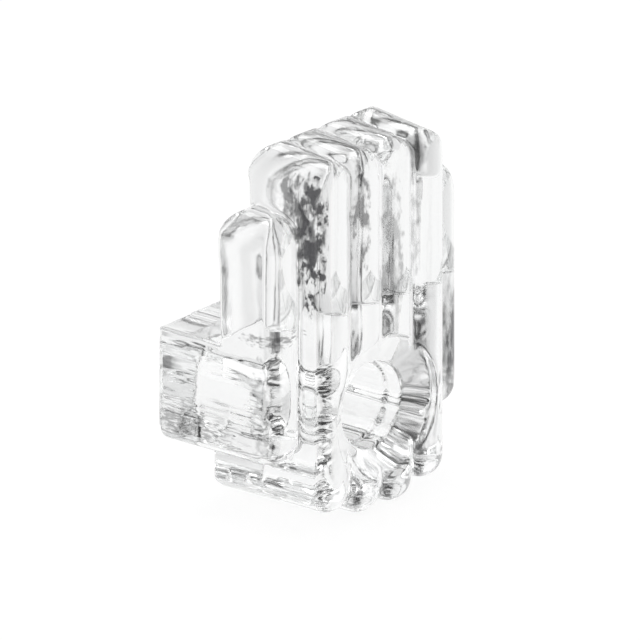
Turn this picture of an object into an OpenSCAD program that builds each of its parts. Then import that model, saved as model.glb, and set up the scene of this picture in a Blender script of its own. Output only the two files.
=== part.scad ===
// Clear moulded mirror clip with a fluted, stepped front.
// Millimetres. +Z is up, the wall is the plane Y = 0 and the clip stands out from it towards -Y.
// The origin is where the screw's axis meets the wall.

/* [Flutes] */
// Distance from one flute to the next, which is also the width of a flute
flute_pitch = 3.175; // [2.4:0.005:4.2]
// Radius across the rounded face of a flute
flute_r = 1.9; // [1.6:0.05:4]
// Height of the four inner flutes above the ledge, at the lip's back
inner_top = 13.2; // [10:0.1:18]
// Height of the two outer flutes above the ledge, at the lip's back
outer_top = 9.5; // [6:0.1:10]
// How far the fronts of the outer flutes stand back from those of the inner ones
outer_setback = 1.7; // [0.5:0.05:2.5]
// Fall of the flute tops towards the front, in degrees
top_fall = 6.5; // [0:0.5:15]
// Radius of the outer top corners, seen from the front
shoulder_r = 2.3; // [1:0.1:2.8]
// Radius that turns an inner flute from its top to its front
inner_nose_r = 1.6; // [0.9:0.05:2.5]
// Radius that turns an outer flute from its top to its front
outer_nose_r = 2.6; // [0.9:0.05:3]
// Radius that turns a flute from its front to its underside
foot_nose_r = 1.4; // [0.9:0.05:2]

/* [Lip and slot] */
// Front to back size of the lip over the inner flutes, at the ledge
lip_depth = 6.4; // [5:0.1:9]
// Clear depth of the mirror slot at the ledge
slot_depth = 5.3; // [4.2:0.1:8]
// Lean of the lip's back face towards the wall, in degrees
lip_lean = 2; // [0:0.25:4]
// Radius of the lead-in at the top of the lip's back face
lead_in_r = 1.8; // [0.3:0.1:2]

/* [Block] */
// Height of the ledge above the screw's axis
ledge_height = 5.65; // [5:0.05:9]
// Height of the spacer block from its underside to the ledge
block_height = 8; // [6.6:0.1:10]
// Radius of the lower side edges of the block
lower_edge_r = 1.2; // [0.3:0.1:1.5]
// Rise of the ledge from its ends to its middle
ledge_crown = 0.4; // [0:0.05:0.6]

/* [Heel] */
// Drop of the outer heel flutes below the block
heel_drop = 3.8; // [3:0.1:5]
// Further drop of the two middle heel flutes
middle_drop = 0.8; // [0:0.1:1.5]
// Gap between the wall and the back of the heel
heel_setback = 2; // [0.5:0.1:3]

/* [Screw hole] */
// Diameter of the hole for the screw's shank
bore_d = 5.2; // [3.5:0.1:5.3]
// Diameter of the short seat between the countersink and the hole
seat_d = 5.8; // [5.4:0.1:6.6]
// Length of that seat
seat_length = 1.05; // [0.3:0.05:2]
// Diameter of the countersink at the fronts of the flutes
sink_d = 9.9; // [8:0.1:10.8]
// Depth of the straight rim at the mouth of the countersink
rim_depth = 0.45; // [0.1:0.05:0.7]
// Angle between opposite sides of the countersink, in degrees
sink_angle = 124; // [90:1:140]

/* [Hidden] */
$fn = 96;
// Overshoot of every cut past the surface it opens
past = 1;
// How far a nose's turn runs on inside the straight top behind it, in degrees
turn_overlap = 1;
half_width = 3 * flute_pitch;
block_z = ledge_height - block_height;
heel_z = block_z - heel_drop;
lip_y = -slot_depth;
inner_y = lip_y - lip_depth;
outer_y = inner_y + outer_setback;

// The waste outside a round of radius r about the origin, between the directions from and to
module round_waste(r, from, to) {
    reach = r + past;
    start = reach * [cos(from), sin(from)];
    stop = reach * [cos(to), sin(to)];
    difference() {
        polygon([[0, 0], start, start + stop, stop]);
        circle(r = r);
    }
}

// Turns an outline drawn as (Y, Z) into a slab across the clip, from X = 0
module across(run) {
    rotate([90, 0, 90])
        linear_extrude(run)
            children();
}

// Turns an outline drawn as (X, Z) into a bar that runs forwards from Y = 0
module forwards(run) {
    rotate([90, 0, 0])
        linear_extrude(run)
            children();
}

// Section of a flute: X across it, its crest at Y = 0, and its body down to Y = -inward
module flute_section(inward) {
    intersection() {
        translate([-flute_pitch / 2, -inward])
            square([flute_pitch, inward]);
        union() {
            translate([0, -flute_r])
                circle(r = flute_r);
            translate([-flute_pitch, -inward - flute_r])
                square([2 * flute_pitch, inward]);
        }
    }
}

// A straight run of flute that faces -Y and goes up from the origin, its crest at Y = -radius
module flute_run(run, radius) {
    rotate([0, 0, 180])
        translate([0, radius, 0])
            linear_extrude(run)
                flute_section(radius);
}

// The turn of a flute about the X axis, from one facing to another: 0 is -Y and 90 is +Z
module flute_turn(radius, from, to) {
    rotate([0, -90, 0])
        rotate([0, 0, from - 90])
            rotate_extrude(angle = to - from)
                intersection() {
                    translate([radius, 0])
                        rotate(-90)
                            flute_section(radius);
                    translate([0, -flute_pitch])
                        square([radius + past, 2 * flute_pitch]);
                }
}

// What the slot and the lead-in take from the back of the lip, seen from the side
module lip_waste(top) {
    corner = [lip_y + top * tan(lip_lean), ledge_height + top * (1 + tan(lip_lean) * tan(top_fall))];
    inset = lead_in_r / cos(top_fall + lip_lean);
    centre = corner - inset * [sin(lip_lean) + cos(top_fall), sin(top_fall) + cos(lip_lean)];
    polygon([
        [lip_y, ledge_height],
        [past, ledge_height],
        [past, corner[1] + past],
        corner + past * [tan(lip_lean), 1]
    ]);
    translate(centre)
        round_waste(lead_in_r, -lip_lean, 90 + top_fall);
}

// One flute at x with its front at y, and the lip and body behind it.
// Its outer side, -1 or 1, has the rounded shoulder, and 0 means that it has none
module flute(x, y, top, bottom, nose_r, outer_side) {
    rise = tan(top_fall);
    foot_z = bottom + foot_nose_r;
    // Where a circle that touches the front also touches the sloping top, as (Y, Z)
    nose = [
        y + nose_r,
        ledge_height + top + (y - lip_y) * rise + nose_r * (rise - 1 / cos(top_fall))
    ];
    inner_r = min(nose_r, foot_nose_r);
    back_y = lip_y + top * tan(lip_lean) + past;
    difference() {
        translate([x, 0, 0]) {
            translate([0, nose[0], nose[1]]) {
                rotate([top_fall - 90, 0, 0])
                    flute_run((back_y - nose[0]) / cos(top_fall), nose_r);
                flute_turn(nose_r, 0, 90 - top_fall + turn_overlap);
            }
            translate([0, y + inner_r, foot_z])
                flute_run(nose[1] - foot_z, inner_r);
            translate([0, y + foot_nose_r, foot_z])
                flute_turn(foot_nose_r, -90, 0);
            translate([-flute_pitch / 2, 0, 0])
                across(flute_pitch)
                    polygon([
                        nose,
                        [y + inner_r, nose[1]],
                        [y + inner_r, foot_z],
                        [back_y, foot_z],
                        [back_y, nose[1] + (back_y - nose[0]) * rise]
                    ]);
        }
        translate([-half_width - past, 0, 0])
            across(2 * (half_width + past))
                lip_waste(top);
        if (outer_side != 0)
            translate([x + outer_side * (flute_pitch / 2 - shoulder_r), lip_y, ledge_height + top])
                rotate([top_fall, 0, 0])
                    translate([0, slot_depth, -shoulder_r])
                        forwards(slot_depth + lip_depth + past)
                            round_waste(shoulder_r, outer_side > 0 ? 0 : 90, outer_side > 0 ? 90 : 180);
    }
}

module flutes() {
    for (side = [-1, 1]) {
        flute(side * 2.5 * flute_pitch, outer_y, outer_top, block_z, outer_nose_r, side);
        flute(side * 1.5 * flute_pitch, inner_y, inner_top, heel_z, inner_nose_r, side);
        flute(side * 0.5 * flute_pitch, inner_y, inner_top, heel_z - middle_drop, inner_nose_r, 0);
    }
}

// Spacer block between the wall and the lip, with the crowned ledge on top
module block() {
    forwards(-outer_y - foot_nose_r)
        difference() {
            polygon([
                [-half_width, block_z],
                [half_width, block_z],
                [half_width, ledge_height],
                [0, ledge_height + ledge_crown],
                [-half_width, ledge_height]
            ]);
            for (side = [0, 1])
                mirror([side, 0])
                    translate([half_width - lower_edge_r, block_z + lower_edge_r])
                        round_waste(lower_edge_r, -90, 0);
        }
}

// One flute of the heel, which runs back under the block and stays clear of the wall
module heel_flute(x, bottom) {
    run = -heel_setback - inner_y - foot_nose_r;
    foot_z = bottom + foot_nose_r;
    translate([x, -heel_setback, foot_z]) {
        rotate([90, 0, 0])
            flute_run(run, foot_nose_r);
        translate([-flute_pitch / 2, 0, 0])
            forwards(run)
                square([flute_pitch, block_z + past - foot_z]);
    }
}

module heel() {
    for (side = [-1, 1]) {
        heel_flute(side * 1.5 * flute_pitch, heel_z);
        heel_flute(side * 0.5 * flute_pitch, heel_z - middle_drop);
    }
}

// A hole across the clip that is bored from one depth behind the flutes' fronts to another
module bored(from, to, front_d, back_d) {
    translate([0, inner_y + to, 0])
        rotate([90, 0, 0])
            cylinder(h = to - from, d1 = back_d, d2 = front_d);
}

// Clearance hole for the screw, with a seat, a countersink and its rim at the front
module screw_hole() {
    sink_end = rim_depth + (sink_d - seat_d) / 2 / tan(sink_angle / 2);
    bored(-past, rim_depth, sink_d, sink_d);
    bored(rim_depth, sink_end, sink_d, seat_d);
    bored(sink_end, sink_end + seat_length, seat_d, seat_d);
    bored(sink_end + seat_length, past - inner_y, bore_d, bore_d);
}

module clip() {
    color([0.86, 0.9, 0.92])
        difference() {
            union() {
                flutes();
                block();
                heel();
            }
            screw_hole();
        }
}

clip();
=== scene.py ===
# %% [markdown]
# # A clear mirror clip
# The real part is one piece of clear, glossy plastic. A screw holds it to the wall, and the lip of six
# upright flutes keeps the edge of a mirror in the slot behind it. Nothing on it moves, so the packed
# frame has one node on one body, and everything made here rides on that body.

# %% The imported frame
import math

import bpy
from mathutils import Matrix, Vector


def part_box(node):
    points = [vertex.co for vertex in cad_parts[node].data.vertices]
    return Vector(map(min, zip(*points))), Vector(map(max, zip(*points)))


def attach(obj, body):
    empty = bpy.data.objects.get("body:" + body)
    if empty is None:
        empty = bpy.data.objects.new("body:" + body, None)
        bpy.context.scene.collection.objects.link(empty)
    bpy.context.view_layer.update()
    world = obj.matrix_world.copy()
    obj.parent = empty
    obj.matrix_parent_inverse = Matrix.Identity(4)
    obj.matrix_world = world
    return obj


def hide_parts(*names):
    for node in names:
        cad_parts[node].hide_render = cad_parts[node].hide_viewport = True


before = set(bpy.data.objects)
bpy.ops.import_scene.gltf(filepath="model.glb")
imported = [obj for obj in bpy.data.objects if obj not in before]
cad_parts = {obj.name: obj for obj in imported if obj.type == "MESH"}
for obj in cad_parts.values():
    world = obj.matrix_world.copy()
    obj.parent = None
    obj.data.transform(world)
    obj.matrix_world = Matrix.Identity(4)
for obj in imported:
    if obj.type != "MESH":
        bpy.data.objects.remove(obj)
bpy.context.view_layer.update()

MM = 0.001

# %% [markdown]
# ## The view
# The photograph looks at the clip from its left and from above, from so far away that its parallel
# edges stay parallel. A perspective camera with a very long lens would do, but an orthographic one
# says it more plainly: its scale is the width of the picture in metres. The camera comes first, since
# every later choice of finish and light is judged through it.

# %% The camera
VIEW_AZIMUTH = math.radians(-49.3)
VIEW_ELEVATION = math.radians(19.3)
PICTURE_WIDTH = 42.07 * MM
AIM = Vector((0.0, -5.77, 4.88)) * MM
CAMERA_DISTANCE = 0.4

toward_camera = Vector((
    math.sin(VIEW_AZIMUTH) * math.cos(VIEW_ELEVATION),
    -math.cos(VIEW_AZIMUTH) * math.cos(VIEW_ELEVATION),
    math.sin(VIEW_ELEVATION),
))
camera_data = bpy.data.cameras.new("photo_camera")
camera_data.type = "ORTHO"
camera_data.ortho_scale = PICTURE_WIDTH
camera_data.clip_start = 0.01
camera_data.clip_end = 10.0
camera = bpy.data.objects.new("photo_camera", camera_data)
camera.location = AIM + toward_camera * CAMERA_DISTANCE
camera.rotation_euler = toward_camera.to_track_quat("Z", "Y").to_euler()
scene = bpy.context.scene
scene.collection.objects.link(camera)
scene.camera = camera
print("camera at", [round(v, 3) for v in camera.location])

# %% [markdown]
# ## The moulded body
# A mould has no razor edges, so the real clip turns softly where two faces meet, and clear plastic
# shows each of those small rounds as a bright or dark line. The solid from the frame has true faces
# and sharp edges. Bevelling its triangles one edge at a time would fail where rounds meet, so a copy
# is turned into an even skin of small squares and then relaxed a little, which rounds every edge by
# about the width of two squares and leaves the flat faces flat.

# %% The skin of the body
SKIN_CELL = 0.17 * MM
RELAX_STEPS = 6

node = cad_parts["clip"]
body_low, body_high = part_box("clip")


def finished_mesh(piece, name):
    """The mesh of a piece with its modifiers applied."""
    graph = bpy.context.evaluated_depsgraph_get()
    mesh = bpy.data.meshes.new_from_object(piece.evaluated_get(graph))
    mesh.name = name
    return mesh


moulded_clip = bpy.data.objects.new("moulded_clip", node.data.copy())
scene.collection.objects.link(moulded_clip)
moulded_clip.data.materials.clear()
skin = moulded_clip.modifiers.new("skin", "REMESH")
skin.mode = "VOXEL"
skin.voxel_size = SKIN_CELL
settle = moulded_clip.modifiers.new("settle", "SHRINKWRAP")
settle.target = node
settle.wrap_method = "NEAREST_SURFACEPOINT"
relax = moulded_clip.modifiers.new("relax", "SMOOTH")
relax.factor = 0.5
relax.iterations = RELAX_STEPS
soft_mesh = finished_mesh(moulded_clip, "moulded_clip")
moulded_clip.modifiers.clear()
moulded_clip.data = soft_mesh
for polygon in soft_mesh.polygons:
    polygon.use_smooth = True
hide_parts("clip")
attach(moulded_clip, "root")
print("skin faces:", len(soft_mesh.polygons))

# %% [markdown]
# ## Shared effects
# Moulded clear plastic is never quite even: its faces wave where the melt flowed and shrank, and fine
# lines run where the mould was cut and polished. The waves are a node group, so that each finish of
# the clip can place them with its own size and strength.

# %% Helpers for node groups


def new_group(name, inputs, outputs):
    """An empty shader node group with float sockets, and its two end nodes."""
    group = bpy.data.node_groups.new(name, "ShaderNodeTree")
    for socket, value in inputs.items():
        made = group.interface.new_socket(socket, in_out="INPUT", socket_type="NodeSocketFloat")
        made.default_value = value
    for socket in outputs:
        group.interface.new_socket(socket, in_out="OUTPUT", socket_type="NodeSocketFloat")
    start = group.nodes.new("NodeGroupInput")
    end = group.nodes.new("NodeGroupOutput")
    return group, start, end


def math_node(tree, operation, first, second):
    """A Math node whose two inputs are sockets or numbers."""
    made = tree.nodes.new("ShaderNodeMath")
    made.operation = operation
    for index, value in enumerate((first, second)):
        if isinstance(value, (int, float)):
            made.inputs[index].default_value = value
        else:
            tree.links.new(value, made.inputs[index])
    return made.outputs[0]


def mixed_colour(tree, factor, first, second):
    """A colour between two others, each of which is a socket or a colour."""
    mix = tree.nodes.new("ShaderNodeMix")
    mix.data_type = "RGBA"
    tree.links.new(factor, mix.inputs["Factor"])
    for socket, value in (("A", first), ("B", second)):
        if isinstance(value, tuple):
            mix.inputs[socket].default_value = value
        else:
            tree.links.new(value, mix.inputs[socket])
    return mix.outputs["Result"]


# %% The flow waves


def flow_wave_group():
    """Slow waves of the surface, longer along one direction than across it."""
    group, start, end = new_group(
        "flow_waves",
        {"Waves per metre": 300.0, "Stretch X": 1.0, "Stretch Z": 1.0, "Detail": 2.0, "Seed": 0.0},
        ["Height"],
    )
    place = group.nodes.new("ShaderNodeTexCoord")
    stretch = group.nodes.new("ShaderNodeCombineXYZ")
    stretch.inputs["Y"].default_value = 1.0
    group.links.new(start.outputs["Stretch X"], stretch.inputs["X"])
    group.links.new(start.outputs["Stretch Z"], stretch.inputs["Z"])
    scaled = group.nodes.new("ShaderNodeVectorMath")
    scaled.operation = "MULTIPLY"
    group.links.new(place.outputs["Object"], scaled.inputs[0])
    group.links.new(stretch.outputs[0], scaled.inputs[1])
    noise = group.nodes.new("ShaderNodeTexNoise")
    noise.noise_dimensions = "4D"
    noise.inputs["Roughness"].default_value = 0.55
    group.links.new(start.outputs["Detail"], noise.inputs["Detail"])
    group.links.new(scaled.outputs[0], noise.inputs["Vector"])
    group.links.new(start.outputs["Waves per metre"], noise.inputs["Scale"])
    group.links.new(start.outputs["Seed"], noise.inputs["W"])
    group.links.new(noise.outputs["Fac"], end.inputs["Height"])
    return group


flow_waves = flow_wave_group()
print("group", flow_waves.name)

# %% [markdown]
# ## Dark marks: painted dark refractions
# In the photograph, dark and broken marks sit in the upper part of the flutes. They are parts of the
# dark room that the curved fronts and the slot behind them gather and break up. Traced light finds
# such marks elsewhere, since they depend on every small wave of the real surface. So they are placed
# one by one: each mark is a soft ball, stretched along the clip's axes and broken up by noise.

# %% The mark group


def mark_group():
    """1 at the heart of a stretched ball, 0 outside it, and broken up by noise between."""
    sizes = {
        "Centre X": 0.0, "Centre Y": 0.0, "Centre Z": 0.0, "Half X": 1.0, "Half Y": 1.0, "Half Z": 1.0,
        "Noise per metre": 1800.0, "Noise stretch Z": 0.45, "Broken": 0.6, "Seed": 0.0,
    }
    group, start, end = new_group("broken_mark", sizes, ["Mask"])
    place = group.nodes.new("ShaderNodeTexCoord")

    def vector_of(kind):
        made = group.nodes.new("ShaderNodeCombineXYZ")
        for axis in "XYZ":
            group.links.new(start.outputs[kind + " " + axis], made.inputs[axis])
        return made.outputs[0]

    def vector_math(operation, first, second):
        made = group.nodes.new("ShaderNodeVectorMath")
        made.operation = operation
        group.links.new(first, made.inputs[0])
        group.links.new(second, made.inputs[1])
        return made

    away = vector_math("SUBTRACT", place.outputs["Object"], vector_of("Centre")).outputs[0]
    share = vector_math("DIVIDE", away, vector_of("Half")).outputs[0]
    length = group.nodes.new("ShaderNodeVectorMath")
    length.operation = "LENGTH"
    group.links.new(share, length.inputs[0])
    noise = group.nodes.new("ShaderNodeGroup")
    noise.node_tree = flow_waves
    noise.inputs["Detail"].default_value = 5.0
    group.links.new(start.outputs["Noise per metre"], noise.inputs["Waves per metre"])
    group.links.new(start.outputs["Noise stretch Z"], noise.inputs["Stretch Z"])
    group.links.new(start.outputs["Seed"], noise.inputs["Seed"])
    swing = math_node(group, "MULTIPLY", math_node(group, "SUBTRACT", noise.outputs["Height"], 0.5), 6.0)
    ragged = math_node(group, "MULTIPLY", swing, start.outputs["Broken"])
    depth = math_node(group, "ADD", math_node(group, "SUBTRACT", 1.0, length.outputs["Value"]), ragged)
    inside = math_node(group, "LESS_THAN", length.outputs["Value"], 1.3)
    soft = group.nodes.new("ShaderNodeMapRange")
    soft.interpolation_type = "SMOOTHSTEP"
    soft.inputs["From Min"].default_value = -0.2
    soft.inputs["From Max"].default_value = 0.75
    group.links.new(depth, soft.inputs["Value"])
    group.links.new(math_node(group, "MULTIPLY", soft.outputs["Result"], inside), end.inputs["Mask"])
    return group


broken_mark = mark_group()
print("group", broken_mark.name)

# %% [markdown]
# ## The clear plastic
# Acrylic bends light almost as glass does, with an index of about 1.49. The Principled shader with
# full transmission gives that, and its base colour is a trace below white, since thick plastic takes
# a little light away. Polished faces stay almost smooth. The marks are painted dark refractions: they
# only darken the base colour, so they take light from what is seen through them.

# %% The clear plastic
PLASTIC_IOR = 1.49
CLEAR = (0.985, 0.99, 0.99, 1.0)
# The near-black tone that the marks paint into the plastic's colour: a painted dark refraction of the dark room,
# not a tint of the plastic
PAINTED_DARK_REFRACTION = (0.01, 0.01, 0.011, 1.0)
# For each painted dark refraction: its centre and half sizes in mm, its depth of tone, and how broken and how
# streaky it is
PAINTED_REFRACTIONS = {
    "second_flute_side": ((-6.35, -10.1, 14.6), (0.7, 1.5, 4.6), 0.95, 0.9, 0.45),
    "second_flute_specks": ((-6.3, -10.5, 13.4), (0.6, 1.1, 4.4), 1.0, 1.6, 0.7),
    "second_flute_shoulder": ((-6.3, -8.3, 15.6), (0.7, 0.9, 1.7), 0.9, 0.7, 0.6),
    "second_flute_foot": ((-5.5, -10.9, 8.6), (1.8, 1.6, 1.1), 0.3, 0.4, 0.45),
    "third_flute_left": ((-3.0, -11.0, 12.5), (0.5, 0.9, 7.5), 0.4, 0.15, 0.3),
    "third_flute": ((-2.4, -11.2, 13.9), (0.6, 1.2, 3.4), 0.9, 0.9, 0.45),
    "fourth_flute": ((0.8, -11.4, 11.2), (0.7, 1.0, 4.4), 0.65, 0.9, 0.45),
    "fourth_flute_foot": ((0.6, -11.5, 8.7), (0.9, 0.9, 1.9), 0.45, 0.4, 0.45),
    "fifth_flute_nose": ((3.4, -11.3, 17.1), (0.9, 1.4, 1.9), 0.85, 0.2, 0.8),
    "fifth_flute": ((3.2, -11.4, 11.4), (0.4, 0.8, 4.2), 0.5, 0.9, 0.6),
    "sixth_flute_side": ((8.8, -9.6, 2.2), (2.2, 1.9, 4.9), 1.0, 0.3, 0.45),
    "first_flute_foot": ((-8.6, -9.1, 6.6), (1.9, 2.0, 0.5), 0.8, 0.9, 2.5),
    "block_corner": ((-9.5, -2.4, -0.7), (0.4, 3.2, 0.9), 0.7, 1.1, 3.0),
    "block_front_edge": ((-9.5, -8.9, 1.6), (0.5, 0.8, 3.4), 0.55, 1.1, 0.9),
}


RIPPLE_CENTRE = (-9.5, -4.5, 1.2)
RIPPLE_HALF = (0.8, 6.5, 5.5)
SINK_CENTRE = (0.0, -11.4, 0.0)
SINK_HALF = (5.6, 2.0, 5.6)
POLISHED_ROUGHNESS = 0.06
SINK_ROUGHNESS = 0.18


def wave_height(tree, waves, share):
    """The height of one set of flow waves, times its share."""
    made = tree.nodes.new("ShaderNodeGroup")
    made.node_tree = flow_waves
    for socket, value in waves.items():
        made.inputs[socket].default_value = value
    return math_node(tree, "MULTIPLY", made.outputs["Height"], share)


def region(tree, centre, half, broken=0.0, stretch=1.0, seed=0):
    """The mask of a stretched ball, given by its centre and its half sizes in mm."""
    made = tree.nodes.new("ShaderNodeGroup")
    made.node_tree = broken_mark
    for axis, middle, reach in zip("XYZ", centre, half):
        made.inputs["Centre " + axis].default_value = middle * MM
        made.inputs["Half " + axis].default_value = reach * MM
    made.inputs["Broken"].default_value = broken
    made.inputs["Noise stretch Z"].default_value = stretch
    made.inputs["Seed"].default_value = seed
    return made.outputs["Mask"]


def painted_refraction_colour(tree):
    """Clear plastic's colour, taken towards a painted dark refraction inside the marks."""
    colour = CLEAR
    for seed, (centre, half, depth, broken, stretch) in enumerate(PAINTED_REFRACTIONS.values()):
        shape = region(tree, centre, half, broken, stretch, seed)
        # Each mark paints dark refraction, a painted shade, into the base colour
        colour = mixed_colour(tree, math_node(tree, "MULTIPLY", shape, depth), colour, PAINTED_DARK_REFRACTION)
    return colour


def finish_roughness(tree):
    """Polished all over, and duller where the countersink was cut."""
    sink = region(tree, SINK_CENTRE, SINK_HALF)
    rough = math_node(tree, "MULTIPLY_ADD", sink, SINK_ROUGHNESS - POLISHED_ROUGHNESS)
    rough.node.inputs[2].default_value = POLISHED_ROUGHNESS
    return rough


def surface_height(tree):
    """Slow waves all over, and strong ripples along the left side of the block."""
    ripples = wave_height(tree, {"Waves per metre": 160.0, "Stretch Z": 5.0, "Seed": 3.0}, 2.5)
    slow = wave_height(tree, {"Waves per metre": 250.0}, 0.25)
    side = region(tree, RIPPLE_CENTRE, RIPPLE_HALF)
    return math_node(tree, "ADD", slow, math_node(tree, "MULTIPLY", ripples, side))


def clear_plastic(name):
    """Clear moulded plastic with its painted dark refraction marks, waves and ripples."""
    material = bpy.data.materials.new(name)
    material.use_nodes = True
    tree = material.node_tree
    shader = tree.nodes["Principled BSDF"]
    tree.links.new(painted_refraction_colour(tree), shader.inputs["Base Color"])
    shader.inputs["Transmission Weight"].default_value = 1.0
    shader.inputs["IOR"].default_value = PLASTIC_IOR
    tree.links.new(finish_roughness(tree), shader.inputs["Roughness"])
    bump = tree.nodes.new("ShaderNodeBump")
    bump.inputs["Strength"].default_value = 1.0
    bump.inputs["Distance"].default_value = 0.1 * MM
    tree.links.new(surface_height(tree), bump.inputs["Height"])
    tree.links.new(bump.outputs["Normal"], shader.inputs["Normal"])
    return material


polished = clear_plastic("polished_plastic")
soft_mesh.materials.append(polished)

# %% [markdown]
# ## The setting
# The clip stands on its heel on a plain white floor. Clear plastic has no colour of its own: it shows
# what stands round it. In an all-white room it would vanish, so, as a photographer does, dark cards
# stand outside the picture, and the plastic draws its edges from them.

# %% The floor and the world
WHITE = (1.0, 1.0, 1.0, 1.0)
FLOOR_SIZE = 2.0
MATTE_SHARE = 0.1
TENT_TOP = (1.1, 1.1, 1.1, 1.0)
TENT_STOPS = ((0, 1.0), (35, 0.95), (60, 0.66), (85, 0.74), (115, 0.95), (150, 0.92))


def direct_sight(tree):
    """1 for rays from the camera, off gloss or through glass, and 0 for the light that surfaces get."""
    path = tree.nodes.new("ShaderNodeLightPath")
    seen = math_node(tree, "MAXIMUM", path.outputs["Is Camera Ray"], path.outputs["Is Glossy Ray"])
    return math_node(tree, "MAXIMUM", seen, path.outputs["Is Transmission Ray"])


def tent_group():
    """The tent's brightness by bearing from the view's own direction, for a place or a direction."""
    group = bpy.data.node_groups.new("tent_tone", "ShaderNodeTree")
    group.interface.new_socket("Place", in_out="INPUT", socket_type="NodeSocketVector")
    group.interface.new_socket("Tone", in_out="OUTPUT", socket_type="NodeSocketColor")
    start = group.nodes.new("NodeGroupInput")
    end = group.nodes.new("NodeGroupOutput")

    def along(direction):
        made = group.nodes.new("ShaderNodeVectorMath")
        made.operation = "DOT_PRODUCT"
        made.inputs[1].default_value = direction
        group.links.new(start.outputs["Place"], made.inputs[0])
        return made.outputs["Value"]

    forward = along((-math.sin(VIEW_AZIMUTH), math.cos(VIEW_AZIMUTH), 0.0))
    sideways = along((math.cos(VIEW_AZIMUTH), math.sin(VIEW_AZIMUTH), 0.0))
    bearing = math_node(group, "ARCTAN2", math_node(group, "ABSOLUTE", sideways, 0.0), forward)
    share = math_node(group, "DIVIDE", bearing, math.pi)
    ramp = group.nodes.new("ShaderNodeValToRGB")
    ramp.color_ramp.interpolation = "EASE"
    stops = ramp.color_ramp.elements
    while len(stops) < len(TENT_STOPS):
        stops.new(1.0)
    for stop, (degrees, tone) in zip(stops, TENT_STOPS):
        stop.position = degrees / 180
        stop.color = (tone, tone, tone, 1.0)
    group.links.new(share, ramp.inputs["Fac"])
    group.links.new(ramp.outputs["Color"], end.inputs["Tone"])
    return group


tent_tone = tent_group()


def white_world():
    """A world that is white where the camera sees it, and a light tent for the plastic."""
    world = bpy.data.worlds.new("light_tent")
    world.use_nodes = True
    tree = world.node_tree
    place = tree.nodes.new("ShaderNodeTexCoord")
    tent = tree.nodes.new("ShaderNodeGroup")
    tent.node_tree = tent_tone
    tree.links.new(place.outputs["Generated"], tent.inputs["Place"])
    parts = tree.nodes.new("ShaderNodeSeparateXYZ")
    tree.links.new(place.outputs["Generated"], parts.inputs[0])
    lift = tree.nodes.new("ShaderNodeMapRange")
    lift.inputs["From Max"].default_value = 0.8
    tree.links.new(parts.outputs["Z"], lift.inputs["Value"])
    tone = mixed_colour(tree, lift.outputs["Result"], tent.outputs["Tone"], TENT_TOP)
    path = tree.nodes.new("ShaderNodeLightPath")
    seen = mixed_colour(tree, path.outputs["Is Camera Ray"], tone, WHITE)
    tree.links.new(seen, tree.nodes["Background"].inputs["Color"])
    return world


scene.world = white_world()


def floor_material():
    """White where it is seen, with the clip's soft shadow kept."""
    material = bpy.data.materials.new("white_floor")
    material.use_nodes = True
    tree = material.node_tree
    tree.nodes.remove(tree.nodes["Principled BSDF"])
    output = tree.nodes["Material Output"]
    matte = tree.nodes.new("ShaderNodeBsdfDiffuse")
    matte.inputs["Color"].default_value = WHITE
    glow = tree.nodes.new("ShaderNodeEmission")
    mix = tree.nodes.new("ShaderNodeMixShader")
    place = tree.nodes.new("ShaderNodeTexCoord")
    tent = tree.nodes.new("ShaderNodeGroup")
    tent.node_tree = tent_tone
    tree.links.new(place.outputs["Object"], tent.inputs["Place"])
    path = tree.nodes.new("ShaderNodeLightPath")
    seen = mixed_colour(tree, path.outputs["Is Camera Ray"], tent.outputs["Tone"], WHITE)
    tree.links.new(seen, glow.inputs["Color"])
    tree.links.new(math_node(tree, "MULTIPLY", direct_sight(tree), 1.0 - MATTE_SHARE), mix.inputs["Fac"])
    tree.links.new(matte.outputs[0], mix.inputs[1])
    tree.links.new(glow.outputs[0], mix.inputs[2])
    tree.links.new(mix.outputs[0], output.inputs["Surface"])
    return material


def card(name, centre, facing, width, height, material):
    """A flat card of a given size that faces a given way."""
    mesh = bpy.data.meshes.new(name)
    w, h = width / 2, height / 2
    mesh.from_pydata([(-w, -h, 0), (w, -h, 0), (w, h, 0), (-w, h, 0)], [], [(0, 1, 2, 3)])
    mesh.materials.append(material)
    made = bpy.data.objects.new(name, mesh)
    made.location = centre
    made.rotation_euler = Vector(facing).to_track_quat("Z", "Y").to_euler()
    scene.collection.objects.link(made)
    return made


floor = card("white_floor", (0.0, 0.0, body_low.z - 0.02 * MM), (0, 0, 1), FLOOR_SIZE, FLOOR_SIZE, floor_material())

# %% The dark cards


def card_material():
    """Grey felt for the cards."""
    material = bpy.data.materials.new("grey_felt")
    material.use_nodes = True
    shader = material.node_tree.nodes["Principled BSDF"]
    shader.inputs["Base Color"].default_value = (0.4, 0.4, 0.4, 1.0)
    shader.inputs["Roughness"].default_value = 0.9
    return material


felt = card_material()
CARDS = {
    "camera_side_card": (-127, 0.2, 0.09, 0.12),
    "left_back_card": (126, 0.2, 0.09, 0.1),
    "right_card": (-12, 0.2, 0.09, 0.04),
}
for name, (bearing, distance, width, height) in CARDS.items():
    away = Vector((math.cos(math.radians(bearing)), math.sin(math.radians(bearing)), 0.0))
    made = card(name, away * distance + Vector((0.0, 0.0, height / 2 + body_low.z)), -away, width, height, felt)
    made.visible_camera = False

# %% The lamps


def lamp(name, centre, size, power):
    """A soft area lamp aimed at the clip."""
    light = bpy.data.lights.new(name, "AREA")
    light.size = size
    light.energy = power
    made = bpy.data.objects.new(name, light)
    made.location = centre
    made.rotation_euler = Vector(centre).to_track_quat("Z", "Y").to_euler()
    scene.collection.objects.link(made)
    return made


lamp("top_lamp", (0.05, 0.1, 0.5), 0.3, 1.0)
scene.view_settings.view_transform = "Standard"
